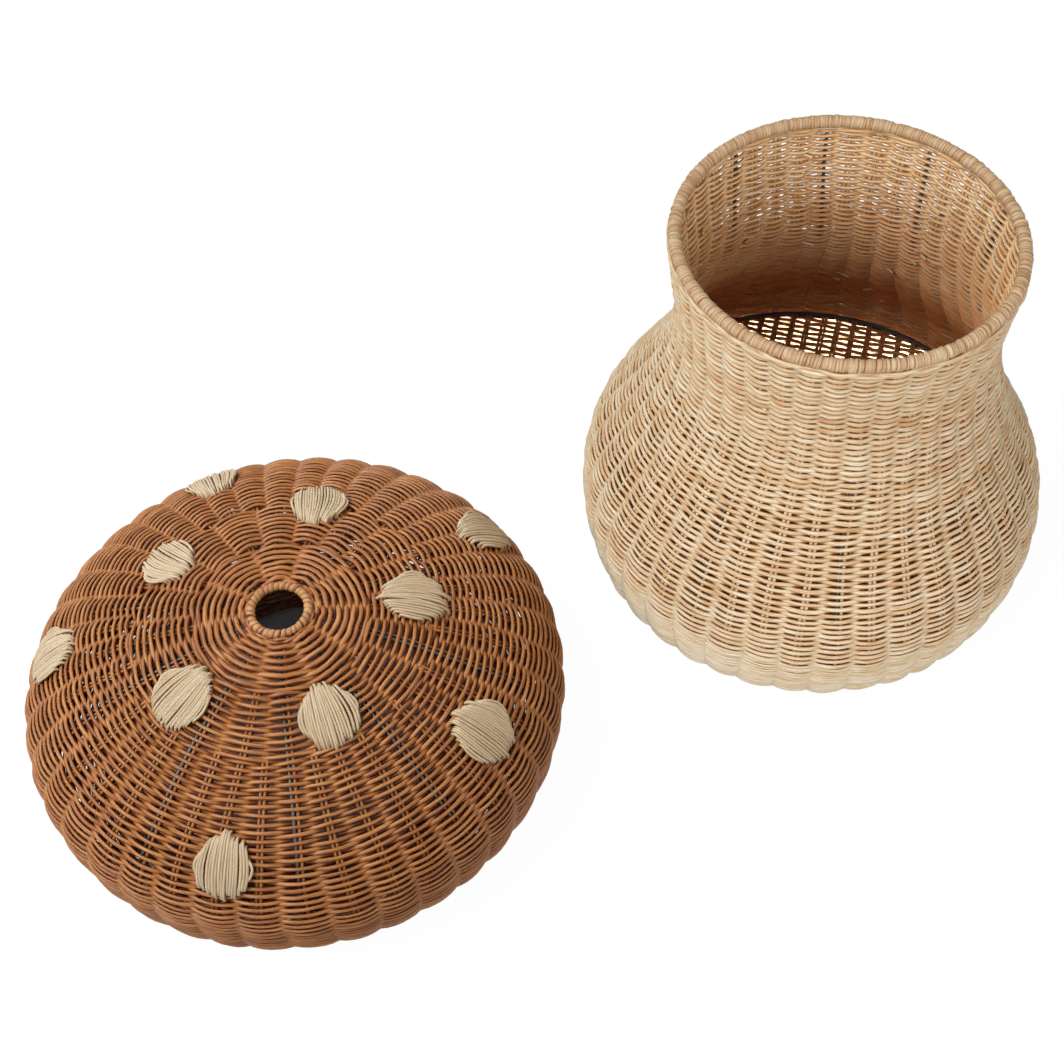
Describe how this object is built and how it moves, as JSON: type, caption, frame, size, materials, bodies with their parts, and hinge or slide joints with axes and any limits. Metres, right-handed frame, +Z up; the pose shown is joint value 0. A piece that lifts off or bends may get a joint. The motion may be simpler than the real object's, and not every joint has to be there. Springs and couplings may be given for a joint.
{
  "type": "lidded storage basket",
  "caption": "Bellied woven rattan basket with a rolled mouth, and its domed lid, with a finger hole and stitched spots, lying beside it.",
  "frame": {"origin": "on the ground, at the middle of the two halves' shared bounding box", "axes": "+Z is up. +X runs from the lid's axis to the body's axis. +Y completes the set."},
  "size_m": [0.8111, 0.3898, 0.32],
  "materials": {
    "natural_rattan": "peeled natural rattan core, matt, straw to light tan from strand to strand",
    "brown_rattan": "rattan core dyed reddish brown, low sheen, darker and lighter strand by strand",
    "dark_wire": "dark coated steel wire, semi-gloss"
  },
  "bodies": {
    "basket": {"belly_wall": "natural_rattan", "neck_wall": "natural_rattan", "foot_skirt": "natural_rattan", "woven_floor": "natural_rattan", "floor_ring": "dark_wire", "foot_hoop": "dark_wire", "rim_hoop": "dark_wire", "rim_wrap": "natural_rattan", "upright_01": "dark_wire", "upright_02": "dark_wire", "upright_03": "dark_wire", "upright_04": "dark_wire", "upright_05": "dark_wire", "upright_06": "dark_wire", "upright_07": "dark_wire", "upright_08": "dark_wire", "upright_09": "dark_wire", "upright_10": "dark_wire"},
    "lid": {"lid_crown": "brown_rattan", "lid_shoulder": "brown_rattan", "lid_underside": "brown_rattan", "lid_collar": "brown_rattan", "lid_base_hoop": "dark_wire", "finger_hole_hoop": "dark_wire", "finger_hole_wrap": "brown_rattan", "lid_rib_01": "dark_wire", "lid_rib_02": "dark_wire", "lid_rib_03": "dark_wire", "lid_rib_04": "dark_wire", "lid_rib_05": "dark_wire", "lid_rib_06": "dark_wire", "lid_rib_07": "dark_wire", "lid_rib_08": "dark_wire", "lid_rib_09": "dark_wire", "lid_rib_10": "dark_wire", "spot_01": "natural_rattan", "spot_02": "natural_rattan", "spot_03": "natural_rattan", "spot_04": "natural_rattan", "spot_05": "natural_rattan", "spot_06": "natural_rattan", "spot_07": "natural_rattan", "spot_08": "natural_rattan", "spot_09": "natural_rattan", "spot_10": "natural_rattan"}
  },
  "joints": [
    {"name": "lid_lift", "type": "slide", "parent": "basket", "child": "lid", "axis": [0, 0, 1], "range_m": [0, 0.45]}
  ]
}
